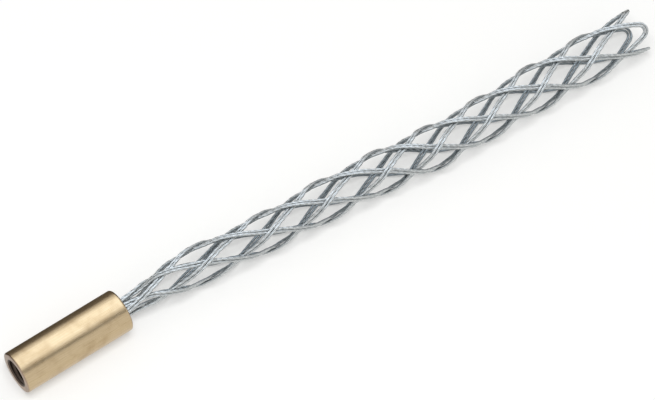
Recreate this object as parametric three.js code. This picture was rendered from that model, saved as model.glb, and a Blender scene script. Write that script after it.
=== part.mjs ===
// Cable pulling grip: a woven sock of paired galvanised wires held in a threaded brass sleeve.
// Millimetres, +Z up. The grip lies on a table along +X, threaded mouth at -X, open sock end at +X.
import * as THREE from "three";

const degree = Math.PI / 180;

// Turned brass sleeve
const sleeveDiameter = 8.0;
const mouthChamfer = 0.2;
const rearEdgeRadius = 0.5;
const threadDiameter = 5.0;
const threadDepth = 11.5;
const threadCountersink = 0.25;
const drillTipAngle = 118;
const webThickness = 1.1;
const socketDepth = 8.0;
const sleeveFacets = 48;

// Stranded wire, drawn with five flat sides inside its own diameter
const wireDiameter = 0.5;
const wireSides = 5;
const crossingClearance = 0.04;
const pairClearance = 0.04;
const crossingDwell = 0.075;

// Weave: four pairs wind each way round the sock
const pairsEachWay = 4;
const squareness = 0.025;
const weaveRoll = 117;
const bightRadius = 1.25;
const bightSteps = 6;

// Wire ends inside the sleeve
const innerRingRadius = 1.06;
const endGap = 0.3;
const socketClearance = 0.05;

// Sock as it lies: its length to the last crossings, its mean radius there, and how far it bows sideways
const sockLength = 111.4;
const mouthRadius = 3.91;
const sockBow = 5.85;

// Crossing rings of the sock: ring number, and shares of the sock's length, mouth radius and bow.
// They are uneven because the sock is woven by hand.
const crossingRings = [
  [-2, 0.033, 0.37, 0],
  [-1, 0.083, 0.66, 0.01],
  [-0.5, 0.115, 0.765, 0.035],
  [0, 0.151, 0.79, 0.08],
  [2, 0.268, 0.797, 0.305],
  [4, 0.373, 0.857, 0.42],
  [6, 0.482, 0.897, 0.575],
  [8, 0.575, 0.928, 0.78],
  [10, 0.676, 0.903, 0.855],
  [12, 0.779, 0.969, 0.875],
  [14, 0.88, 0.979, 0.94],
  [16, 1, 1, 1],
];

// Sizes that follow from the ones above
const sleeveRadius = sleeveDiameter / 2;
const wireRadius = wireDiameter / 2;
const layer = (wireDiameter + crossingClearance) / 2;
const closePair = (wireDiameter + pairClearance) / 2;
const exitRadius = innerRingRadius + layer;
const socketRadius = exitRadius + layer + wireRadius + socketClearance;
const coreRadius = innerRingRadius - wireRadius - socketClearance;
const threadRadius = threadDiameter / 2;
const drillTip = threadRadius / Math.tan((drillTipAngle * degree) / 2);
const sleeveLength = threadDepth + drillTip + webThickness + socketDepth;
const sleeveAxisHeight = sleeveRadius * Math.cos(Math.PI / sleeveFacets);
const firstRing = crossingRings[0][0];
const lastRing = crossingRings[crossingRings.length - 1][0];
const exitRing = firstRing - 0.6;
const lineStep = 360 / pairsEachWay;
const ringTurn = lineStep / 2;

const brass = new THREE.MeshStandardMaterial({ color: 0xc9a878, roughness: 0.35, metalness: 1 });
const galvanised = new THREE.MeshStandardMaterial({ color: 0xa3adb4, roughness: 0.45, metalness: 1 });
const solder = new THREE.MeshStandardMaterial({ color: 0x8f9090, roughness: 0.6, metalness: 1 });

// A smooth curve through [place, value] points, with slopes taken from the neighbouring points.
function smoothThrough(points) {
  const slope = (i) => {
    const before = points[Math.max(i - 1, 0)];
    const after = points[Math.min(i + 1, points.length - 1)];
    return (after[1] - before[1]) / (after[0] - before[0]);
  };
  return (place) => {
    let i = points.findIndex((point) => place < point[0]) - 1;
    if (i === -2) i = points.length - 2;
    i = Math.max(i, 0);
    const [x0, y0] = points[i];
    const [x1, y1] = points[i + 1];
    const span = x1 - x0;
    const t = (place - x0) / span;
    const rise = t * t * (3 - 2 * t);
    const startPull = t * (1 - t) * (1 - t) * slope(i) * span;
    const endPull = t * t * (t - 1) * slope(i + 1) * span;
    return y0 + (y1 - y0) * rise + startPull + endPull;
  };
}

const rings = crossingRings.map(([ring, along, wide, aside]) => ({
  ring,
  distance: along * sockLength,
  radius: wide * mouthRadius,
  sway: -aside * sockBow,
}));
const stations = [{ ring: exitRing, distance: 0, radius: exitRadius, sway: 0 }, ...rings];
const distanceAtRing = smoothThrough(stations.map(({ ring, distance }) => [ring, distance]));
const radiusAtRing = smoothThrough(stations.map(({ ring, radius }) => [ring, radius]));
const swayAtDistance = smoothThrough(stations.map(({ distance, sway }) => [distance, sway]));

// The slope of the wires on the unrolled sock at its mouth, and the middle of the bights there.
const mouthStep = distanceAtRing(lastRing) - distanceAtRing(lastRing - 1);
const mouthSlope = Math.atan((mouthRadius * ringTurn * degree) / mouthStep);
const bightCentre = sockLength - bightRadius / Math.sin(mouthSlope);

// Half the distance round the sock between the two wires of a pair, which lie side by side.
function halfPair(radius) {
  const slope = Math.atan((radius * ringTurn * degree) / mouthStep);
  return closePair / Math.cos(slope);
}

// Where a wire leaves its level after crossing at a ring, counted in rings from it.
function crossingReach(ring) {
  const radius = radiusAtRing(ring);
  return halfPair(radius) / (radius * ringTurn * degree) + crossingDwell;
}

// How high the sock's axis must stand at the mouth for the pair at one ring to touch the table.
// Even and odd rings cross on either side of straight down.
function liftForRing(ring) {
  const even = ring % 2 === 0;
  const fromDown = even ? weaveRoll - 90 : 90 + ringTurn - weaveRoll;
  const radius = radiusAtRing(ring) * (even ? 1 + squareness : 1 - squareness) + layer;
  const reached = halfPair(radius) / radius + crossingReach(ring) * ringTurn * degree;
  const drop = radius * Math.cos(Math.max(fromDown * degree - reached, 0)) + wireRadius;
  return ((drop - sleeveAxisHeight) * sockLength) / distanceAtRing(ring);
}

const bodyRings = Array.from({ length: lastRing }, (unused, ring) => ring);
const mouthLift = Math.max(0, ...bodyRings.map(liftForRing));

// A point of the sock's surface, from its distance along the axis, its angle and its radius.
// Inside the sleeve the axis is the sleeve's.
function sockPoint(distance, angle, radius) {
  const square = 1 + squareness * Math.cos(pairsEachWay * (angle - weaveRoll) * degree);
  const free = Math.max(distance, 0);
  const y = swayAtDistance(free) + radius * square * Math.cos(angle * degree);
  const axisHeight = sleeveAxisHeight + (mouthLift * free) / sockLength;
  const z = axisHeight + radius * square * Math.sin(angle * degree);
  return new THREE.Vector3(distance, y, z);
}

// Ring numbers of the wire's steps, and how far out it lies at each: 1 over, -1 under.
// At even rings the wires that turn forwards run under, at odd rings over.
function weaveSteps() {
  const steps = [[exitRing, -1]];
  for (let ring = firstRing; ring < lastRing; ring += 1) {
    const over = ring % 2 === 0 ? -1 : 1;
    const reach = crossingReach(ring);
    steps.push([ring - reach, over]);
    steps.push([ring + reach, over]);
    if (ring < lastRing - 1) steps.push([ring + 0.5, 0]);
  }
  return steps;
}

// One wire: out of the sleeve with the forward pair, round its bight, and back with the other pair.
class WireRun extends THREE.Curve {
  constructor(line, side) {
    super();
    this.places = [];
    const forward = this.leg(line, 1, side);
    const back = this.leg(line, -1, -side);
    this.places = [...forward, ...this.bight(line, side), ...back.reverse()];
  }

  // One leg of the wire. Its pair turns forwards (1) or backwards (-1) away from the sleeve.
  leg(line, turn, side) {
    const apex = weaveRoll + line * lineStep + ringTurn * lastRing;
    const place = (ring, distance, out) => {
      const radius = radiusAtRing(ring) + turn * out * layer;
      const shift = (side * halfPair(radius)) / (radius * degree);
      const angle = apex - turn * ringTurn * (lastRing - ring) + shift;
      return { point: sockPoint(distance, angle, radius), angle };
    };
    const steps = weaveSteps().map(([ring, out]) => place(ring, distanceAtRing(ring), out));
    return [place(exitRing, endGap - socketDepth, -1), ...steps];
  }

  // The rounded return at the mouth, on the unrolled sock an arc about the line of the crossing.
  bight(line, side) {
    const apex = weaveRoll + line * lineStep + ringTurn * lastRing;
    const radius = bightRadius - side * closePair;
    const sweep = Math.PI / 2 - mouthSlope;
    const places = [];
    for (let step = 0; step <= bightSteps; step += 1) {
      const around = THREE.MathUtils.mapLinear(step, 0, bightSteps, -sweep, sweep);
      const angle = apex + (radius * Math.sin(around)) / (mouthRadius * degree);
      const distance = bightCentre + radius * Math.cos(around);
      places.push({ point: sockPoint(distance, angle, mouthRadius), angle });
    }
    return places;
  }

  getPoint(t) {
    const last = this.places.length - 1;
    const step = Math.min(Math.floor(t * last), last - 1);
    const here = this.places[step].point;
    return here.clone().lerp(this.places[step + 1].point, t * last - step);
  }

  getSpacedPoints() {
    return this.places.map(({ point }) => point.clone());
  }

  // The section keeps one side turned to the sock's axis all along the wire.
  computeFrenetFrames() {
    const last = this.places.length - 1;
    const frames = { tangents: [], normals: [], binormals: [] };
    this.places.forEach(({ angle }, step) => {
      const before = this.places[Math.max(step - 1, 0)].point;
      const after = this.places[Math.min(step + 1, last)].point;
      const tangent = after.clone().sub(before).normalize();
      const outward = new THREE.Vector3(0, Math.cos(angle * degree), Math.sin(angle * degree));
      const binormal = tangent.clone().cross(outward).normalize();
      frames.tangents.push(tangent);
      frames.binormals.push(binormal);
      frames.normals.push(binormal.clone().cross(tangent));
    });
    return frames;
  }
}

function regularSection(radius, sides) {
  const corners = [];
  for (let corner = 0; corner < sides; corner += 1) {
    const angle = (corner * 2 * Math.PI) / sides;
    corners.push(new THREE.Vector2(radius * Math.cos(angle), radius * Math.sin(angle)));
  }
  return new THREE.Shape(corners);
}

function wire(line, side, name) {
  const run = new WireRun(line, side);
  const section = regularSection(wireRadius, wireSides);
  const options = { steps: run.places.length - 1, extrudePath: run, bevelEnabled: false };
  const mesh = new THREE.Mesh(new THREE.ExtrudeGeometry(section, options), galvanised.clone());
  mesh.name = name;
  return mesh;
}

// A solid of revolution about the X axis, from [distance, radius] corners, with a flat side below.
function turned(corners, facets, material, name) {
  const profile = corners.map(([distance, radius]) => new THREE.Vector2(radius, distance));
  const geometry = new THREE.LatheGeometry(profile, facets, Math.PI / facets);
  geometry.rotateZ(-Math.PI / 2);
  const mesh = new THREE.Mesh(geometry, material.clone());
  mesh.name = name;
  mesh.position.z = sleeveAxisHeight;
  return mesh;
}

function threadedSleeve() {
  const mouth = -sleeveLength;
  const corners = [
    [mouth + threadDepth + drillTip, 0],
    [mouth + threadDepth, threadRadius],
    [mouth + threadCountersink, threadRadius],
    [mouth, threadRadius + threadCountersink],
    [mouth, sleeveRadius - mouthChamfer],
    [mouth + mouthChamfer, sleeveRadius],
  ];
  const edgeSteps = 4;
  for (let step = 0; step <= edgeSteps; step += 1) {
    const around = (step / edgeSteps) * (Math.PI / 2);
    const distance = rearEdgeRadius * (Math.sin(around) - 1);
    corners.push([distance, sleeveRadius + rearEdgeRadius * (Math.cos(around) - 1)]);
  }
  corners.push([0, socketRadius]);
  corners.push([-socketDepth, socketRadius]);
  corners.push([-socketDepth, 0]);
  return turned(corners, sleeveFacets, brass, "threaded_sleeve");
}

// The solder inside the ring of wire ends, which keeps them spread against the socket's wall.
function solderCore() {
  const base = -socketDepth;
  const top = -rearEdgeRadius;
  const corners = [
    [base, 0],
    [base, coreRadius],
    [top, coreRadius],
    [top, 0],
  ];
  return turned(corners, sleeveFacets / 2, solder, "solder_core");
}

const grip = new THREE.Group();
grip.add(threadedSleeve());
grip.add(solderCore());
for (let line = 0; line < pairsEachWay; line += 1) {
  grip.add(wire(line, -1, `loop_${line + 1}_outer_wire`));
  grip.add(wire(line, 1, `loop_${line + 1}_inner_wire`));
}

// The part's origin is the bottom centre of its box.
const box = new THREE.Box3().setFromObject(grip, true);
const middle = box.getCenter(new THREE.Vector3());
grip.position.set(-middle.x, -middle.y, -box.min.z);

const group = new THREE.Group();
group.add(grip);

export default group;
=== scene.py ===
"""Cable pulling grip: a woven sock of stranded galvanised wires in a threaded brass sleeve.

The grip lies on a pale table along +X, its threaded mouth at -X and its open sock end at +X.
Sizes of the grip's pieces are in millimetres until they become a mesh, which is in metres.
"""

import logging
import math
from dataclasses import dataclass
from enum import Enum

import bmesh
import bpy
import numpy as np
from mathutils import Matrix, Vector


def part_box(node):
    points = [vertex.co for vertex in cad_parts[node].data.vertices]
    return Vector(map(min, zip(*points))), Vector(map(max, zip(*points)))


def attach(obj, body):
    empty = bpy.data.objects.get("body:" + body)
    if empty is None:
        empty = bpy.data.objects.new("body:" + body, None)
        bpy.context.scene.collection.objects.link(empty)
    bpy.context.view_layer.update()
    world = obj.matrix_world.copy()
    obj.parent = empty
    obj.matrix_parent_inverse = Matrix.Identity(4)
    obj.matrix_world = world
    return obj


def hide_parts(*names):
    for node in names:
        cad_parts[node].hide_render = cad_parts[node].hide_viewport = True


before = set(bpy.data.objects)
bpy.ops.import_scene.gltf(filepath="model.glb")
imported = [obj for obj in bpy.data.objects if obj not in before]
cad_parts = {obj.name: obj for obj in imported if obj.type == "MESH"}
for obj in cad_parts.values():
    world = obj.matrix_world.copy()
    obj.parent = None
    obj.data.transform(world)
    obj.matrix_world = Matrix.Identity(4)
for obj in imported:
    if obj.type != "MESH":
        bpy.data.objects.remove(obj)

log = logging.getLogger("cable_pulling_grip")
MM = 0.001
WHITE = (1.0, 1.0, 1.0, 1.0)
# Where nearly all values of a noise texture lie
NOISE_SPREAD = (0.3, 0.7)

Sockets = dict[str | int, object]
# A low and a high value, or a point in a plane
Range = tuple[float, float]
# A point in space, or the distance, angle and radius of one on the sock
Place = tuple[float, float, float]


class Slot(str, Enum):
    """The record's material slots."""

    SLEEVE = "sleeve"
    WIRE = "wire"
    SOLDER = "solder"


class Winding(Enum):
    """Which way a leg of a wire turns about the sock, going away from the sleeve."""

    FORWARD = 1
    BACKWARD = -1


class PairSide(Enum):
    """A wire's place in its pair, and so in its bight."""

    OUTER = -1
    INNER = 1


class Grain(Enum):
    """The way the fine tool marks run on a turned piece."""

    LENGTHWISE = "lengthwise"
    ROUND = "round"
    CUT = "cut"


# ---- Small helpers ----


def linear(colour: str) -> tuple[float, float, float, float]:
    """Turns an sRGB colour into Blender's linear values.

    Args:
        colour: The colour as #RRGGBB.

    Returns:
        Linear red, green and blue, and an alpha of 1.
    """
    channels = [int(colour[i : i + 2], 16) / 255 for i in (1, 3, 5)]
    lit = [c / 12.92 if c <= 0.04045 else ((c + 0.055) / 1.055) ** 2.4 for c in channels]
    return lit[0], lit[1], lit[2], 1.0


def smoothstep(t: float) -> float:
    """Eases a value from 0 to 1, held at either end."""
    t = min(max(t, 0.0), 1.0)
    return t * t * (3 - 2 * t)


def add_node(
    tree: bpy.types.NodeTree, kind: str, inputs: Sockets | None = None, **settings: object
) -> bpy.types.Node:
    """Adds a node with its settings, constant values and links.

    Args:
        tree: The material's or world's nodes.
        kind: The node's type name.
        inputs: A constant or another node's output for each of the node's sockets.
        **settings: Properties of the node itself.

    Returns:
        The new node.
    """
    node = tree.nodes.new(kind)
    for name, value in settings.items():
        setattr(node, name, value)
    for socket, value in (inputs or {}).items():
        if isinstance(value, bpy.types.NodeSocket):
            tree.links.new(value, node.inputs[socket])
        else:
            node.inputs[socket].default_value = value
    return node


def new_material(name: str) -> tuple[bpy.types.Material, bpy.types.NodeTree]:
    """Makes a material with no nodes in it.

    Args:
        name: The material's name.

    Returns:
        The material and its empty node tree.
    """
    material = bpy.data.materials.new(name)
    material.use_nodes = True
    material.node_tree.nodes.clear()
    return material, material.node_tree


def lay_over(
    tree: bpy.types.NodeTree,
    under: object,
    over: str,
    mask: bpy.types.NodeSocket,
    spread: Range,
    strength: Range,
) -> bpy.types.NodeSocket:
    """Lays a colour over a finish, as strongly as a mask says.

    Args:
        tree: The material's nodes.
        under: The finish so far, as a linear colour or an output.
        over: The colour that is laid over it, as #RRGGBB.
        mask: The output that says where.
        spread: The range of the mask over which the strength changes.
        strength: How much of the colour shows at either end of that range.

    Returns:
        The new finish's output.
    """
    limits = {"Value": mask, 1: spread[0], 2: spread[1], 3: strength[0], 4: strength[1]}
    share = add_node(tree, "ShaderNodeMapRange", limits).outputs["Result"]
    mixed = {0: share, 6: under, 7: linear(over)}
    return add_node(tree, "ShaderNodeMix", mixed, data_type="RGBA").outputs[2]


def finish_metal(
    tree: bpy.types.NodeTree,
    colour: bpy.types.NodeSocket,
    roughness: object,
    texture: bpy.types.NodeSocket,
    relief: float,
    depth: float,
) -> None:
    """Ends a metal's material with its shader, its fine relief and the output.

    Args:
        tree: The material's nodes.
        colour: The metal's colour.
        roughness: A constant or an output.
        texture: The height of the relief.
        relief: How strongly the relief shows.
        depth: How deep it is, in millimetres.
    """
    bump = {"Strength": relief, "Distance": depth * MM, "Height": texture}
    normal = add_node(tree, "ShaderNodeBump", bump).outputs["Normal"]
    metal = {"Base Color": colour, "Metallic": 1.0, "Roughness": roughness, "Normal": normal}
    shader = add_node(tree, "ShaderNodeBsdfPrincipled", metal).outputs["BSDF"]
    add_node(tree, "ShaderNodeOutputMaterial", {"Surface": shader})


def seen_rays(tree: bpy.types.NodeTree) -> bpy.types.NodeSocket:
    """Tells the rays of the camera, of reflections and of glass from those that light other things.

    Args:
        tree: The nodes that the test is added to.

    Returns:
        An output that is 1 for those rays and 0 for all others.
    """
    rays = add_node(tree, "ShaderNodeLightPath").outputs
    direct = {0: rays["Is Camera Ray"], 1: rays["Is Glossy Ray"]}
    seen = add_node(tree, "ShaderNodeMath", direct, operation="MAXIMUM").outputs[0]
    through = {0: seen, 1: rays["Is Transmission Ray"]}
    return add_node(tree, "ShaderNodeMath", through, operation="MAXIMUM").outputs[0]


def place_order(place: Vector) -> float:
    """Gives a place in space its rank, mostly along +X, then along +Y and +Z."""
    return place.x + 1e-3 * place.y + 1e-6 * place.z


def finish_mesh(bm: bmesh.types.BMesh, name: str, material: bpy.types.Material) -> bpy.types.Object:
    """Turns a bmesh into a smooth-shaded object in the scene.

    Args:
        bm: The finished bmesh, in metres, which is freed.
        name: The object's name.
        material: Its finish.

    Returns:
        The new object, at the origin.
    """
    bmesh.ops.recalc_face_normals(bm, faces=bm.faces)
    # Extruding and spinning leave the faces in another order in each run.
    bm.verts.sort(key=lambda vert: place_order(vert.co))
    bm.faces.sort(key=lambda face: place_order(face.calc_center_median()))
    for face in bm.faces:
        face.smooth = True
    mesh = bpy.data.meshes.new(name)
    bm.to_mesh(mesh)
    bm.free()
    mesh.materials.append(material)
    piece = bpy.data.objects.new(name, mesh)
    bpy.context.scene.collection.objects.link(piece)
    return piece


def dress(piece: bpy.types.Object, slot: Slot, *nodes: str) -> None:
    """Fixes a piece to the grip's body in place of its solids.

    Args:
        piece: The finished piece.
        slot: Not used.
        *nodes: The solids that it stands for.
    """
    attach(piece, "root")
    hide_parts(*nodes)
    log.info("%s: %d faces", piece.name, len(piece.data.polygons))


# ---- Finishes ----


@dataclass(frozen=True)
class TurnedBrass:
    """Bright turned brass.

    Sizes are in millimetres: the width, length and depth of a tool mark, and the size of a tarnish
    patch. Each spread is the range of a noise texture over which its effect grows to full strength.
    """

    grain: Grain = Grain.LENGTHWISE
    bright: str = "#CDB998"
    dull: str = "#B9A37F"
    tarnish: str = "#A28966"
    mark_width: float = 0.07
    mark_length: float = 5.0
    mark_spread: Range = (0.32, 0.68)
    patch: float = 3.2
    patch_spread: Range = (0.50, 0.74)
    patch_strength: float = 0.55
    polish: Range = (0.26, 0.36)
    relief: float = 0.35
    depth: float = 0.0008

    def material(self) -> bpy.types.Material:
        """Builds the brass.

        Returns:
            The finish, with its marks along the piece or round it.
        """
        material, tree = new_material(f"brass_{self.grain.value}")
        place = add_node(tree, "ShaderNodeTexCoord").outputs["Object"]
        # Tool marks spread a reflection into a soft band with fine streaks. Real ones are about
        # 0.03 mm wide, too fine to show, so they are drawn at twice that.
        across, along = 1 / (self.mark_width * MM), 1 / (self.mark_length * MM)
        lengthwise = self.grain is Grain.LENGTHWISE
        scale = (along, across, across) if lengthwise else (across, along, along)
        drawn = add_node(tree, "ShaderNodeMapping", {"Vector": place, "Scale": scale}).outputs[0]
        texture = {"Vector": drawn, "Scale": 1.0, "Detail": 3.0, "Roughness": 0.6}
        marks = add_node(tree, "ShaderNodeTexNoise", texture).outputs["Fac"]
        metal = lay_over(tree, linear(self.dull), self.bright, marks, self.mark_spread, (0, 1))
        # A thin brown tarnish takes some of the shine off in patches.
        texture = {"Vector": place, "Scale": 1 / (self.patch * MM), "Detail": 4.0}
        patches = add_node(tree, "ShaderNodeTexNoise", texture).outputs["Fac"]
        worn = (0, self.patch_strength)
        colour = lay_over(tree, metal, self.tarnish, patches, self.patch_spread, worn)
        low, high = NOISE_SPREAD
        limits = {"Value": marks, 1: low, 2: high, 3: self.polish[0], 4: self.polish[1]}
        roughness = add_node(tree, "ShaderNodeMapRange", limits).outputs["Result"]
        finish_metal(tree, colour, roughness, marks, self.relief, self.depth)
        return material


@dataclass(frozen=True)
class GalvanisedStrand:
    """Zinc-coated stranded wire.

    The wire's mesh carries three attributes: crest is 1 on top of a strand and 0 where two
    strands meet, strand is the strand's number, and outside runs from -1 towards the sock's axis
    to 1 away from it. The hollows between strands are darkened, partly with dirt and partly with
    painted shade, and the side that faces into the sock is darkened with painted shade. Sizes are
    in millimetres: those of a zinc spangle and of a scuff, and how deep scuffs are. Each spread is
    the range of its mask over which a colour fades in or out, and the tinned stretch is given in
    metres along the grip.
    """

    zinc: str = "#E8E9E7"
    shade: str = "#BCC1C2"
    # Dirt and painted shade in the grooves between strands
    groove_dirt_and_shade: str = "#5F686D"
    # Painted shade on the side of each wire that faces into the sock
    inward_painted_shade: str = "#727B80"
    tinned: str = "#C1C5C5"
    spangle: float = 0.35
    spangle_spread: Range = (0.34, 0.66)
    spangle_strength: float = 0.8
    tone_scale: float = 0.9
    tone_strength: float = 0.35
    groove_dirt_and_shade_spread: Range = (0.15, 0.75)
    groove_dirt_and_shade_strength: float = 0.85
    inward_painted_shade_spread: Range = (-0.7, 0.5)
    inward_painted_shade_strength: float = 0.78
    tinned_reach: Range = (-0.0435, -0.0290)
    tinned_strength: float = 0.7
    scuff: float = 0.09
    polish: Range = (0.24, 0.42)
    relief: float = 0.4
    depth: float = 0.004

    def material(self) -> bpy.types.Material:
        """Builds the galvanised finish.

        Returns:
            The finish of all the wires.
        """
        material, tree = new_material("galvanised_strand")
        place = add_node(tree, "ShaderNodeTexCoord").outputs["Object"]
        along = add_node(tree, "ShaderNodeSeparateXYZ", {"Vector": place}).outputs["X"]
        crest, strand, outside = (
            add_node(tree, "ShaderNodeAttribute", attribute_name=name).outputs["Fac"]
            for name in ("crest", "strand", "outside")
        )
        texture = {"Vector": place, "Scale": 1 / (self.spangle * MM), "Detail": 2.0}
        spangles = add_node(tree, "ShaderNodeTexNoise", texture).outputs["Fac"]
        texture = {"W": strand, "Scale": self.tone_scale}
        tone = add_node(tree, "ShaderNodeTexNoise", texture, noise_dimensions="1D").outputs["Fac"]
        # The zinc is satin and mottled with spangles, and no two strands are quite alike. The
        # grooves are darker, partly with dirt and partly with painted shade, and the side that
        # faces into the sock is darkened with painted shade. Near the sleeve, solder has crept
        # up the wires and evened them out.
        layers = (
            (self.shade, spangles, self.spangle_spread, (0, self.spangle_strength)),
            (self.shade, tone, NOISE_SPREAD, (0, self.tone_strength)),
            # Dirt and painted shade in the grooves
            (self.groove_dirt_and_shade, crest, self.groove_dirt_and_shade_spread, (self.groove_dirt_and_shade_strength, 0)),
            # Painted shade on the side that faces into the sock
            (self.inward_painted_shade, outside, self.inward_painted_shade_spread, (self.inward_painted_shade_strength, 0)),
            (self.tinned, along, self.tinned_reach, (self.tinned_strength, 0)),
        )
        colour = linear(self.zinc)
        for over, mask, spread, strength in layers:
            colour = lay_over(tree, colour, over, mask, spread, strength)
        # Scuffs break the reflections up.
        texture = {"Vector": place, "Scale": 1 / (self.scuff * MM), "Detail": 3.0}
        scuffs = add_node(tree, "ShaderNodeTexNoise", texture).outputs["Fac"]
        low, high = NOISE_SPREAD
        limits = {"Value": scuffs, 1: low, 2: high, 3: self.polish[0], 4: self.polish[1]}
        roughness = add_node(tree, "ShaderNodeMapRange", limits).outputs["Result"]
        finish_metal(tree, colour, roughness, scuffs, self.relief, self.depth)
        return material


@dataclass(frozen=True)
class DullSolder:
    """Grey solder. The size and depth of a lump are in millimetres."""

    skin: str = "#9A9B9B"
    dross: str = "#6E6C68"
    dross_spread: Range = (0.4, 0.7)
    lump: float = 0.5
    roughness: float = 0.55
    relief: float = 0.6
    depth: float = 0.05

    def material(self) -> bpy.types.Material:
        """Builds the solder.

        Returns:
            The finish.
        """
        material, tree = new_material("dull_solder")
        place = add_node(tree, "ShaderNodeTexCoord").outputs["Object"]
        # It set with a soft, lumpy skin, stained by burnt flux.
        texture = {"Vector": place, "Scale": 1 / (self.lump * MM), "Detail": 3.0}
        lumps = add_node(tree, "ShaderNodeTexNoise", texture).outputs["Fac"]
        colour = lay_over(tree, linear(self.skin), self.dross, lumps, self.dross_spread, (0, 1))
        finish_metal(tree, colour, self.roughness, lumps, self.relief, self.depth)
        return material


@dataclass(frozen=True)
class MattePaint:
    """A plain matte surface of the studio, such as its table or a dark card.

    Its glow is the share of plain white that the camera and the metal see in it.
    """

    name: str
    colour: str
    glow: float = 0.0

    def material(self) -> bpy.types.Material:
        """Builds the paint.

        Returns:
            The finish.
        """
        material, tree = new_material(self.name)
        paint = add_node(tree, "ShaderNodeBsdfDiffuse", {"Color": linear(self.colour)}).outputs[0]
        white = add_node(tree, "ShaderNodeEmission", {"Color": WHITE, "Strength": 1.0}).outputs[0]
        glow = {0: seen_rays(tree), 1: self.glow}
        share = add_node(tree, "ShaderNodeMath", glow, operation="MULTIPLY").outputs[0]
        surface = add_node(tree, "ShaderNodeMixShader", {0: share, 1: paint, 2: white}).outputs[0]
        add_node(tree, "ShaderNodeOutputMaterial", {"Surface": surface})
        return material


# ---- Sleeve ----


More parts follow.
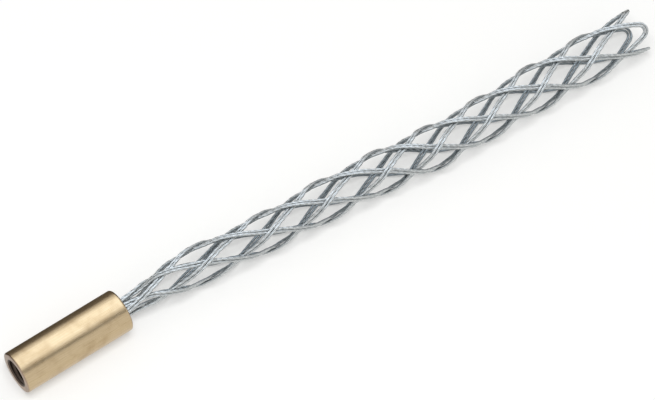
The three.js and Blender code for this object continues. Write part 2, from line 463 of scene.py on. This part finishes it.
@dataclass
class ThreadedSleeve:
    """The turned brass sleeve, threaded from its mouth and bored for the wires at its rear.

    Distances run along the sleeve from its rear face, and the mouth is at the negative end.
    """

    diameter: float = 8.0
    mouth_chamfer: float = 0.28
    rear_edge_radius: float = 0.5
    thread_diameter: float = 5.0
    thread_pitch: float = 0.8
    thread_height: float = 0.43
    thread_depth: float = 11.5
    # Half the width of the thread's ridge at its foot and at its crest
    ridge_foot: float = 0.36
    ridge_crest: float = 0.07
    # How far the ridge's foot is sunk into the wall of the bore
    ridge_sink: float = 0.02
    countersink: float = 0.25
    # The bore's painted shade, a near-black copy of the brass, takes in this much of the
    # countersink
    painted_shade_rim: float = 0.15
    drill_tip: float = 1.502
    socket_depth: float = 8.0
    socket_radius: float = 1.9
    socket_edge_radius: float = 0.12
    facets: int = 144
    thread_facets: int = 48
    sharp_angle: float = 35.0
    # A face whose normal has at least this share along the sleeve belongs to an end
    end_facing: float = 0.6
    finish: TurnedBrass = TurnedBrass()
    # The end faces carry real round tool marks, and their darker copy of the brass is painted
    # shade.
    end_painted_shade_finish: TurnedBrass = TurnedBrass(
        grain=Grain.ROUND, bright="#B9A28D", dull="#937D69", tarnish="#6B584A", polish=(0.3, 0.42)
    )
    # The bore and the rim of the countersink get a near-black copy of the brass: painted shade
    # inside the hole.
    bore_painted_shade_finish: TurnedBrass = TurnedBrass(
        grain=Grain.CUT, bright="#6E625A", dull="#35291F", tarnish="#1C1511", polish=(0.34, 0.5)
    )

    def __post_init__(self) -> None:
        """Reads the sleeve's place from its solid."""
        low, high = (Vector(corner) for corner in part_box("threaded_sleeve"))
        self.rear = Vector((high.x, (low.y + high.y) / 2, (low.z + high.z) / 2)) / MM
        self.length = (high.x - low.x) / MM

    def place(self, distance: float, radius: float) -> Vector:
        """The point in metres at a distance from the rear face and a radius, above the axis."""
        return (self.rear + Vector((distance, 0, radius))) * MM

    def spin_outline(self, bm: bmesh.types.BMesh, corners: list[Range], facets: int) -> None:
        """Spins an outline once round the sleeve's axis into a closed body.

        Args:
            bm: The bmesh that the body is added to.
            corners: Distance and radius of each corner. The first and the last are on the axis.
            facets: How many facets the body has round the axis.
        """
        verts = [bm.verts.new(self.place(*corner)) for corner in corners]
        edges = [bm.edges.new(pair) for pair in zip(verts, verts[1:])]
        bmesh.ops.spin(
            bm,
            geom=verts + edges,
            cent=self.rear * MM,
            axis=(1, 0, 0),
            angle=2 * math.pi,
            steps=facets,
            use_merge=True,
            use_duplicate=False,
        )
        bmesh.ops.remove_doubles(bm, verts=bm.verts, dist=0.001 * MM)

    def body(self, bm: bmesh.types.BMesh) -> None:
        """Adds the sleeve's body, with its edges eased.

        Args:
            bm: The bmesh that the body is added to.
        """
        mouth, bore, outside = -self.length, self.thread_diameter / 2, self.diameter / 2
        corners = [
            (mouth + self.thread_depth + self.drill_tip, 0),
            (mouth + self.thread_depth, bore),
            (mouth, bore),
            (mouth, outside),
            (0, outside),
            (0, self.socket_radius),
            (-self.socket_depth, self.socket_radius),
            (-self.socket_depth, 0),
        ]
        self.spin_outline(bm, corners, self.facets)
        self.ease_edge(bm, mouth, outside, self.mouth_chamfer, 3)
        self.ease_edge(bm, 0, outside, self.rear_edge_radius, 8)
        self.ease_edge(bm, mouth, bore, self.countersink, 1)
        self.ease_edge(bm, 0, self.socket_radius, self.socket_edge_radius, 2)

    def ease_edge(
        self, bm: bmesh.types.BMesh, distance: float, radius: float, width: float, segments: int
    ) -> None:
        """Bevels one of the sleeve's round edges.

        Args:
            bm: The sleeve's bmesh.
            distance: Where the edge lies along the sleeve.
            radius: The edge's radius.
            width: How much of either face the bevel takes.
            segments: 1 for a chamfer, more for a rounded edge.
        """
        near = 0.01

        def on_edge(vert: bmesh.types.BMVert) -> bool:
            """Whether a vertex lies on the edge."""
            offset = vert.co / MM - self.rear
            return abs(offset.x - distance) < near and abs(offset.yz.length - radius) < near

        edges = [edge for edge in bm.edges if all(on_edge(vert) for vert in edge.verts)]
        bmesh.ops.bevel(
            bm,
            geom=edges,
            offset=width * MM,
            offset_type="OFFSET",
            affect="EDGES",
            segments=segments,
            profile=0.5,
            material=-1,
        )

    def thread(self, bm: bmesh.types.BMesh) -> None:
        """Winds the thread's ridge inside the bore, cut back by the countersink at the mouth.

        Args:
            bm: An empty bmesh that the ridge is added to.
        """
        bore = self.thread_diameter / 2
        wall, crest = bore + self.ridge_sink, bore - self.thread_height
        start = 0.5 * self.thread_pitch - self.length
        section = [
            (start - self.ridge_foot, wall),
            (start - self.ridge_crest, crest),
            (start + self.ridge_crest, crest),
            (start + self.ridge_foot, wall),
        ]
        verts = [bm.verts.new(self.place(*corner)) for corner in section]
        edges = [bm.edges.new(pair) for pair in zip(verts, verts[1:] + verts[:1])]
        turns = int((self.thread_depth - self.thread_pitch) / self.thread_pitch)
        wound = bmesh.ops.spin(
            bm,
            geom=verts + edges,
            cent=self.rear * MM,
            axis=(1, 0, 0),
            dvec=(self.thread_pitch * MM / self.thread_facets, 0, 0),
            angle=2 * math.pi * turns,
            steps=turns * self.thread_facets,
            use_merge=False,
            use_duplicate=False,
        )
        last = [item for item in wound["geom_last"] if isinstance(item, bmesh.types.BMEdge)]
        for loop in (edges, last):
            bmesh.ops.contextual_create(bm, geom=loop)
        for vert in bm.verts:
            depth = vert.co.x / MM - self.rear.x + self.length
            offset = vert.co.yz / MM - self.rear.yz
            cone = bore + self.countersink - depth
            if offset.length < cone:
                vert.co.yz = (self.rear.yz + offset.normalized() * min(cone, wall)) * MM

    def build(self) -> bpy.types.Object:
        """Makes the sleeve with its thread.

        Returns:
            The dressed sleeve.
        """
        ridge = bpy.data.meshes.new("thread_ridge")
        bm = bmesh.new()
        self.thread(bm)
        bm.to_mesh(ridge)
        bm.clear()
        self.body(bm)
        bm.from_mesh(ridge)
        bpy.data.meshes.remove(ridge)
        sleeve = finish_mesh(bm, "sleeve", self.finish.material())
        for finish in (self.end_painted_shade_finish, self.bore_painted_shade_finish):
            sleeve.data.materials.append(finish.material())
        # Faces in the bore and on the countersink's rim take the near-black painted-shade copy of
        # the brass, and the end faces take its darker painted-shade copy.
        end, bore = 1, 2
        for face in sleeve.data.polygons:
            radius = (face.center / MM - self.rear).yz.length
            if radius < self.thread_diameter / 2 + self.painted_shade_rim:
                face.material_index = bore
            elif abs(face.normal.x) > self.end_facing:
                face.material_index = end
        sleeve.data.set_sharp_from_angle(angle=math.radians(self.sharp_angle))
        dress(sleeve, Slot.SLEEVE, "threaded_sleeve")
        return sleeve


# ---- Weave ----


@dataclass
class SockWeave:
    """The run of the wires: four pairs each way, crossing over and under on a slightly square tube.

    A place on the sock is a ring number, a real number that is whole where the pairs cross.
    Even rings cross at the front, top, bottom and back, and odd rings halfway between.
    Each row of crossing_rings is a ring, and its shares of the length, the mouth radius and the
    bow.
    """

    wire: float = 0.5
    crossing_clearance: float = 0.04
    pair_clearance: float = 0.04
    crossing_dwell: float = 0.075
    lines: int = 4
    squareness: float = 0.025
    roll: float = 117.0
    # Rings between the sleeve's rear face and the first crossing
    exit_rings: float = 0.6
    bight_radius: float = 1.25
    inner_ring_radius: float = 1.06
    end_gap: float = 0.3
    # Where the straight wires in the socket begin to spread, behind the sleeve's rear face
    gather: float = -0.4
    socket_depth: float = 8.0
    sleeve_axis_height: float = 3.9914
    mouth_lift: float = 0.349
    sock_length: float = 111.4
    mouth_radius: float = 3.91
    sock_bow: float = 5.85
    samples_per_ring: int = 24
    socket_samples: int = 16
    bight_samples: int = 40
    join_steps: int = 12
    crossing_rings: tuple[tuple[float, float, float, float], ...] = (
        (-2, 0.033, 0.37, 0.0),
        (-1, 0.083, 0.66, 0.01),
        (-0.5, 0.115, 0.765, 0.035),
        (0, 0.151, 0.79, 0.08),
        (2, 0.268, 0.797, 0.305),
        (4, 0.373, 0.857, 0.42),
        (6, 0.482, 0.897, 0.575),
        (8, 0.575, 0.928, 0.78),
        (10, 0.676, 0.903, 0.855),
        (12, 0.779, 0.969, 0.875),
        (14, 0.88, 0.979, 0.94),
        (16, 1.0, 1.0, 1.0),
    )

    def __post_init__(self) -> None:
        """Works out what follows from the sizes."""
        self.layer = (self.wire + self.crossing_clearance) / 2
        self.close_pair = (self.wire + self.pair_clearance) / 2
        self.first_ring, self.last_ring = self.crossing_rings[0][0], self.crossing_rings[-1][0]
        self.exit_ring = self.first_ring - self.exit_rings
        rings, along, wide, aside = zip(*self.crossing_rings)
        self.ring_places = [self.exit_ring, *rings]
        self.distances = [0.0, *(share * self.sock_length for share in along)]
        exit_radius = self.inner_ring_radius + self.layer
        self.radii = [exit_radius, *(share * self.mouth_radius for share in wide)]
        self.sways = [0.0, *(-share * self.sock_bow for share in aside)]
        self.ring_turn = math.radians(180 / self.lines)
        self.mouth_step = self.distance_at(self.last_ring) - self.distance_at(self.last_ring - 1)
        self.mouth_slope = math.atan(self.mouth_radius * self.ring_turn / self.mouth_step)
        self.bight_centre = self.sock_length - self.bight_radius / math.sin(self.mouth_slope)

    @staticmethod
    def smooth_through(places: list[float], values: list[float], place: float) -> float:
        """Reads a smooth curve through points, with slopes taken from the neighbouring points.

        Args:
            places: Where the points lie, in rising order.
            values: The value at each.
            place: Where to read.

        Returns:
            The curve's value there.
        """
        last = len(places) - 1

        def slope(i: int) -> float:
            """The curve's slope at one point."""
            before, after = max(i - 1, 0), min(i + 1, last)
            return (values[after] - values[before]) / (places[after] - places[before])

        i = min(max(sum(1 for known in places if known <= place) - 1, 0), last - 1)
        span = places[i + 1] - places[i]
        t = (place - places[i]) / span
        pull = t * (1 - t) ** 2 * slope(i) * span + t * t * (t - 1) * slope(i + 1) * span
        return values[i] + (values[i + 1] - values[i]) * t * t * (3 - 2 * t) + pull

    def distance_at(self, ring: float) -> float:
        """The distance from the sleeve at a ring."""
        return self.smooth_through(self.ring_places, self.distances, ring)

    def radius_at(self, ring: float) -> float:
        """The sock's mean radius at a ring."""
        return self.smooth_through(self.ring_places, self.radii, ring)

    def half_pair(self, radius: float) -> float:
        """Half the distance round the sock between the wires of a pair, which lie side by side."""
        return self.close_pair / math.cos(math.atan(radius * self.ring_turn / self.mouth_step))

    def crossing_reach(self, ring: int) -> float:
        """How far from a crossing, in rings, the wires keep their level."""
        radius = self.radius_at(ring)
        return self.half_pair(radius) / (radius * self.ring_turn) + self.crossing_dwell

    def level(self, ring: float) -> float:
        """How far out a forward wire lies: 1 over, -1 under.

        Args:
            ring: The place along the sock.

        Returns:
            The level, eased between one crossing and the next.
        """
        if ring <= self.first_ring:
            return -1.0
        here = min(math.floor(ring), int(self.last_ring) - 1)
        side = -1.0 if here % 2 == 0 else 1.0
        start = here + self.crossing_reach(here)
        end = here + 1 - self.crossing_reach(here + 1) if here + 1 < self.last_ring else here + 1
        return side * (1 - 2 * smoothstep((ring - start) / (end - start)))

    def sock_point(self, distance: float, angle: float, radius: float) -> Place:
        """A point of the sock, from its place on the unrolled tube.

        Args:
            distance: Along the axis from the sleeve's rear face.
            angle: Round the axis, in radians from +Y.
            radius: From the axis, before the tube is made slightly square.

        Returns:
            The point from the sleeve's rear face, with its height above the table.
        """
        corners = math.cos(self.lines * (angle - math.radians(self.roll)))
        square = radius * (1 + self.squareness * corners)
        free = max(distance, 0.0)
        sway = self.smooth_through(self.distances, self.sways, free)
        height = self.sleeve_axis_height + self.mouth_lift * free / self.sock_length
        return distance, sway + square * math.cos(angle), height + square * math.sin(angle)

    def apex(self, line: int) -> float:
        """The angle of a line's bight at the mouth."""
        return math.radians(self.roll + line * 360 / self.lines) + self.ring_turn * self.last_ring

    def leg(self, line: int, winding: Winding, side: PairSide) -> list[Place]:
        """One leg of a wire, from inside the sleeve to its last crossing.

        Args:
            line: Which bight the leg runs to.
            winding: Which way it turns.
            side: Which wire of its pair it is, counted round the sock.

        Returns:
            Distance, angle and radius at each sample.
        """

        def place(ring: float, distance: float) -> Place:
            """The leg's distance, angle and radius at a ring.

            Args:
                ring: The ring, which gives the angle and the radius.
                distance: How far from the sleeve's rear face it lies.

            Returns:
                The place on the unrolled tube.
            """
            radius = self.radius_at(ring) + winding.value * self.level(ring) * self.layer
            angle = self.apex(line) - winding.value * self.ring_turn * (self.last_ring - ring)
            return distance, angle + side.value * self.half_pair(radius) / radius, radius

        end = self.last_ring - 1 + self.crossing_reach(int(self.last_ring) - 1)
        count = int((end - self.exit_ring) * self.samples_per_ring)
        rings = np.linspace(self.exit_ring, end, count)
        bottom = self.end_gap - self.socket_depth
        hidden = np.linspace(bottom, self.gather, self.socket_samples)
        straight = [place(self.exit_ring, distance) for distance in hidden]
        return straight + [place(ring, self.distance_at(ring)) for ring in rings]

    def bight(self, line: int, side: PairSide) -> list[Place]:
        """The rounded return at the mouth.

        Args:
            line: Which bight it is.
            side: The outer or the inner wire of the bight.

        Returns:
            Distance, angle and radius at each sample.
        """
        radius = self.bight_radius - side.value * self.close_pair
        sweep = math.pi / 2 - self.mouth_slope
        return [
            (
                self.bight_centre + radius * math.cos(around),
                self.apex(line) + radius * math.sin(around) / self.mouth_radius,
                self.mouth_radius,
            )
            for around in np.linspace(-sweep, sweep, self.bight_samples)
        ]

    def run(self, line: int, side: PairSide) -> tuple[np.ndarray, np.ndarray]:
        """The whole run of a wire: out with the forward pair, round its bight and back.

        Args:
            line: Which bight the wire makes.
            side: The outer or the inner wire of that bight.

        Returns:
            The points, and the angle round the sock at each, at uneven spacing.
        """
        other = PairSide.INNER if side is PairSide.OUTER else PairSide.OUTER
        out = self.leg(line, Winding.FORWARD, side)
        back = self.leg(line, Winding.BACKWARD, other)[::-1]
        turn = self.bight(line, side)
        places = [*out, *self.join(out[-1], turn[0]), *turn, *self.join(turn[-1], back[0]), *back]
        points = np.array([self.sock_point(*place) for place in places])
        return points, np.array([place[1] for place in places])

    def join(self, start: Place, end: Place) -> list[Place]:
        """The straight stretch between a leg and its bight, easing from one radius to the other.

        Args:
            start: Distance, angle and radius where it starts.
            end: The same where it ends.

        Returns:
            The places between the two ends.
        """
        places = []
        for step in range(1, self.join_steps):
            t = step / self.join_steps
            distance, angle = (start[i] + (end[i] - start[i]) * t for i in (0, 1))
            places.append((distance, angle, start[2] + (end[2] - start[2]) * smoothstep(t)))
        return places


@dataclass
class StrandedWire:
    """One galvanised wire: six strands laid round a hidden core, along a run of the weave.

    The lay is the length in millimetres in which a strand winds once round the wire.
    """

    name: str
    line: int
    side: PairSide
    weave: SockWeave
    origin: Vector
    strands: int = 6
    points_per_strand: int = 5
    # How much of a strand's round shows, in degrees
    strand_sweep: float = 160.0
    lay: float = 8.0
    steps_per_lay: int = 18
    smoothing_passes: int = 2

    def even_run(self) -> tuple[np.ndarray, np.ndarray, float]:
        """Spaces the wire's run evenly and softens its small kinks.

        Returns:
            The points in metres in the row's frame, the angle at each, and the step in millimetres.
        """
        points, angles = self.weave.run(self.line, self.side)
        pieces = np.linalg.norm(np.diff(points, axis=0), axis=1)
        travel = np.concatenate([[0.0], np.cumsum(pieces)])
        count = round(travel[-1] / (self.lay / self.steps_per_lay))
        places = np.linspace(0, travel[-1], count + 1)
        even = np.stack([np.interp(places, travel, points[:, i]) for i in range(3)], axis=1)
        for _ in range(self.smoothing_passes):
            even[1:-1] = (even[:-2] + 2 * even[1:-1] + even[2:]) / 4
        metres = (even + np.array(self.origin)) * MM
        return metres, np.interp(places, travel, angles), travel[-1] / count

    def frames(self) -> list[tuple[Matrix, Vector]]:
        """The wire's section frame at each step, turned by the lay of its strands.

        Returns:
            A matrix for each step, with Z along the wire, and the way out of the sock.
        """
        points, angles, step = self.even_run()
        tangents = np.gradient(points, axis=0)
        stations = []
        for i, (point, tangent, angle) in enumerate(zip(points, tangents, angles)):
            along = Vector(tangent).normalized()
            outward = Vector((0, math.cos(angle), math.sin(angle)))
            beside = along.cross(outward).normalized()
            outward = beside.cross(along)
            turned = Matrix((outward, beside, along)).transposed().to_4x4()
            twist = Matrix.Rotation(2 * math.pi * i * step / self.lay, 4, "Z")
            stations.append((Matrix.Translation(Vector(point)) @ turned @ twist, outward))
        return stations

    def section(self, bm: bmesh.types.BMesh) -> list[bmesh.types.BMEdge]:
        """Draws the outline of the six strands, flat at the origin.

        Args:
            bm: The bmesh that the outline is added to.

        Returns:
            The outline's edges.
        """
        crest = bm.verts.layers.float.new("crest")
        number = bm.verts.layers.float.new("strand")
        bm.verts.layers.float.new("outside")
        count = self.strands * self.points_per_strand
        circle = bmesh.ops.create_circle(bm, segments=count, radius=1.0)["verts"]
        # A strand, the core and the strand opposite are together as wide as the wire.
        strand_radius = self.weave.wire / 6
        for i, vert in enumerate(circle):
            strand, point = divmod(i, self.points_per_strand)
            middle = 2 * math.pi * strand / self.strands
            share = point / (self.points_per_strand - 1) - 0.5
            around = math.radians(self.strand_sweep * share)
            centre = Vector((math.cos(middle), math.sin(middle), 0)) * 2 * strand_radius
            edge = Vector((math.cos(middle + around), math.sin(middle + around), 0))
            vert.co = (centre + edge * strand_radius) * MM
            vert[crest] = math.cos(around)
            vert[number] = strand
        return list(bm.edges)

    def build(self, material: bpy.types.Material) -> bpy.types.Object:
        """Draws the section along the wire's run.

        Args:
            material: The galvanised finish.

        Returns:
            The dressed wire.
        """
        bm = bmesh.new()
        edges = self.section(bm)
        facing = bm.verts.layers.float["outside"]
        stations = self.frames()
        bmesh.ops.transform(bm, matrix=stations[0][0], verts=bm.verts)
        bmesh.ops.contextual_create(bm, geom=edges)
        for (before, _), (after, outward) in zip(stations, stations[1:]):
            drawn = bmesh.ops.extrude_edge_only(bm, edges=edges)["geom"]
            verts = [item for item in drawn if isinstance(item, bmesh.types.BMVert)]
            edges = [item for item in drawn if isinstance(item, bmesh.types.BMEdge)]
            bmesh.ops.transform(bm, matrix=after @ before.inverted(), verts=verts)
            for vert in verts:
                # How far each point faces out of the sock, for the painted shade on its inward side
                vert[facing] = (vert.co - after.translation).normalized().dot(outward)
        bmesh.ops.contextual_create(bm, geom=edges)
        wire = finish_mesh(bm, f"{self.name}_strands", material)
        dress(wire, Slot.WIRE, self.name)
        return wire


@dataclass
class SolderFill:
    """The solder that holds the wire ends in the sleeve's socket, dished towards the middle.

    Its rim at the wall and the bottom of its dish lie behind the sleeve's rear face.
    """

    sleeve: ThreadedSleeve
    wall_gap: float = 0.01
    bottom_gap: float = 0.05
    rim: float = -0.35
    dish: float = -0.75
    dish_steps: int = 8
    facets: int = 64
    sharp_angle: float = 40.0
    finish: DullSolder = DullSolder()

    def build(self) -> bpy.types.Object:
        """Spins the fill's outline about the sleeve's axis.

        Returns:
            The dressed solder.
        """
        wall = self.sleeve.socket_radius - self.wall_gap
        bottom = self.bottom_gap - self.sleeve.socket_depth
        corners = [(bottom, 0), (bottom, wall), (self.rim, wall)]
        for radius in np.linspace(wall, 0, self.dish_steps + 1)[1:]:
            rise = (self.rim - self.dish) * (radius / wall) ** 4
            corners.append((self.dish + rise, radius))
        bm = bmesh.new()
        self.sleeve.spin_outline(bm, corners, self.facets)
        solder = finish_mesh(bm, "solder_fill", self.finish.material())
        solder.data.set_sharp_from_angle(angle=math.radians(self.sharp_angle))
        dress(solder, Slot.SOLDER, "solder_core")
        return solder


# ---- Studio ----


@dataclass(frozen=True)
class DarkCard:
    """A dark card beside the grip that only its metal sees, as a photographer puts one up.

    Corners are in metres as (Y, Z) of the card's two long edges.
    """

    name: str
    start: Range
    end: Range
    length: float = 0.8
    colour: str = "#1A1612"

    def build(self) -> bpy.types.Object:
        """Stands the card along the grip.

        Returns:
            The card, which only reflections show.
        """
        bm = bmesh.new()
        first = bm.verts.new((-self.length / 2, *self.start))
        second = bm.verts.new((self.length / 2, *self.start))
        edge = bm.edges.new((first, second))
        drawn = bmesh.ops.extrude_edge_only(bm, edges=[edge])["geom"]
        verts = [item for item in drawn if isinstance(item, bmesh.types.BMVert)]
        across = Vector((0, *self.end)) - Vector((0, *self.start))
        bmesh.ops.translate(bm, vec=across, verts=verts)
        card = finish_mesh(bm, self.name, MattePaint(self.name, self.colour).material())
        card.visible_camera = card.visible_diffuse = card.visible_shadow = False
        return card


@dataclass(frozen=True)
class SoftLamp:
    """A soft rectangular lamp that faces the grip.

    The place and size are in metres, and the brightness is that of the lamp's face, where 1 is
    white.
    """

    name: str
    place: Place
    size: Range
    brightness: float
    colour: str = "#FFFFFF"
    lights_table: bool = True
    lights_metal: bool = True

    def build(self) -> bpy.types.Object:
        """Hangs the lamp.

        Returns:
            The lamp, turned towards the line below it along the grip.
        """
        data = bpy.data.lights.new(self.name, "AREA")
        data.shape = "RECTANGLE"
        data.size, data.size_y = self.size
        data.energy = self.brightness * math.pi * self.size[0] * self.size[1]
        data.color = linear(self.colour)[:3]
        lamp = bpy.data.objects.new(self.name, data)
        lamp.location = self.place
        lamp.rotation_euler = (math.atan2(-self.place[1], self.place[2]), 0, 0)
        lamp.visible_diffuse = self.lights_table
        lamp.visible_glossy = self.lights_metal
        bpy.context.scene.collection.objects.link(lamp)
        return lamp


@dataclass
class Studio:
    """The pale table, the soft light, the dark cards and the camera.

    Lengths are in metres, and the lens and sensor in millimetres. Azimuth 0 looks along +Y, the
    camera looks down by its elevation, and the roll turns it about its line of sight.
    """

    azimuth: float = -41.01
    elevation: float = 62.8
    roll: float = 6.4
    distance: float = 0.8
    aim: Place = (-0.001367, 0.000488, 0.003837)
    focal: float = 246.62
    sensor_width: float = 36.0
    clip: Range = (0.01, 20.0)
    table_size: float = 6.0
    table_gap: float = 0.00002
    table_colour: str = "#F6F6F4"
    table_glow: float = 0.3
    sky: float = 0.62
    lamps: tuple[SoftLamp, ...] = (
        # A cool soft box that only the metal reflects, and a plain one that lights the table
        SoftLamp(
            "rear_lamp", (0.1, 0.171, 0.47), (0.5, 0.66), 1.3, colour="#E3EFFF", lights_table=False
        ),
        SoftLamp("top_lamp", (-0.08, -0.07, 0.57), (0.26, 0.26), 8.6, lights_metal=False),
    )
    cards: tuple[DarkCard, ...] = (
        DarkCard("back_card", (0.0095, 0.0004), (0.12, 0.038), colour="#5A534B"),
        DarkCard("lens_card", (-0.116, 0.216), (-0.160, 0.188)),
    )

    def build_table(self) -> None:
        """Lays the pale table just under the grip."""
        bm = bmesh.new()
        bmesh.ops.create_grid(bm, x_segments=1, y_segments=1, size=self.table_size / 2)
        bmesh.ops.translate(bm, vec=(0, 0, -self.table_gap), verts=bm.verts)
        paint = MattePaint("pale_table", self.table_colour, self.table_glow)
        finish_mesh(bm, "table", paint.material())

    def build_sky(self) -> None:
        """Makes the room a pale grey light, white where the camera or the metal sees it."""
        world = bpy.data.worlds.new("room")
        world.use_nodes = True
        tree = world.node_tree
        tree.nodes.clear()
        light, white = (
            add_node(tree, "ShaderNodeBackground", {"Color": WHITE, "Strength": power}).outputs[0]
            for power in (self.sky, 1.0)
        )
        mixed = {0: seen_rays(tree), 1: light, 2: white}
        surface = add_node(tree, "ShaderNodeMixShader", mixed).outputs[0]
        add_node(tree, "ShaderNodeOutputWorld", {"Surface": surface})
        bpy.context.scene.world = world

    def build_camera(self) -> None:
        """Puts the camera at the photograph's angle, with a long lens."""
        turn, rise = math.radians(self.azimuth), math.radians(self.elevation)
        flat = math.cos(rise)
        back = Vector((math.sin(turn) * flat, -math.cos(turn) * flat, math.sin(rise)))
        level = Vector((math.cos(turn), math.sin(turn), 0))
        right = Matrix.Rotation(math.radians(self.roll), 3, back) @ level
        data = bpy.data.cameras.new("camera")
        data.sensor_width, data.lens = self.sensor_width, self.focal
        data.clip_start, data.clip_end = self.clip
        camera = bpy.data.objects.new("camera", data)
        facing = Matrix((right, back.cross(right), back)).transposed().to_4x4()
        place = Vector(self.aim) + back * self.distance
        camera.matrix_world = Matrix.Translation(place) @ facing
        bpy.context.scene.collection.objects.link(camera)
        bpy.context.scene.camera = camera

    def build(self) -> None:
        """Sets up the whole studio."""
        self.build_table()
        self.build_sky()
        self.build_camera()
        for item in (*self.lamps, *self.cards):
            item.build()
        bpy.context.scene.view_settings.view_transform = "Standard"


def main() -> None:
    """Builds the grip and the studio."""
    logging.basicConfig(level=logging.INFO, format="%(name)s %(message)s")
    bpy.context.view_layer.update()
    sleeve = ThreadedSleeve()
    sleeve.build()
    SolderFill(sleeve).build()
    weave = SockWeave()
    galvanised = GalvanisedStrand().material()
    origin = Vector((sleeve.rear.x, sleeve.rear.y, 0))
    for line in range(weave.lines):
        for side in PairSide:
            name = f"loop_{line + 1}_{side.name.lower()}_wire"
            StrandedWire(name, line, side, weave, origin).build(galvanised)
    Studio().build()


if __name__ == "__main__":
    main()
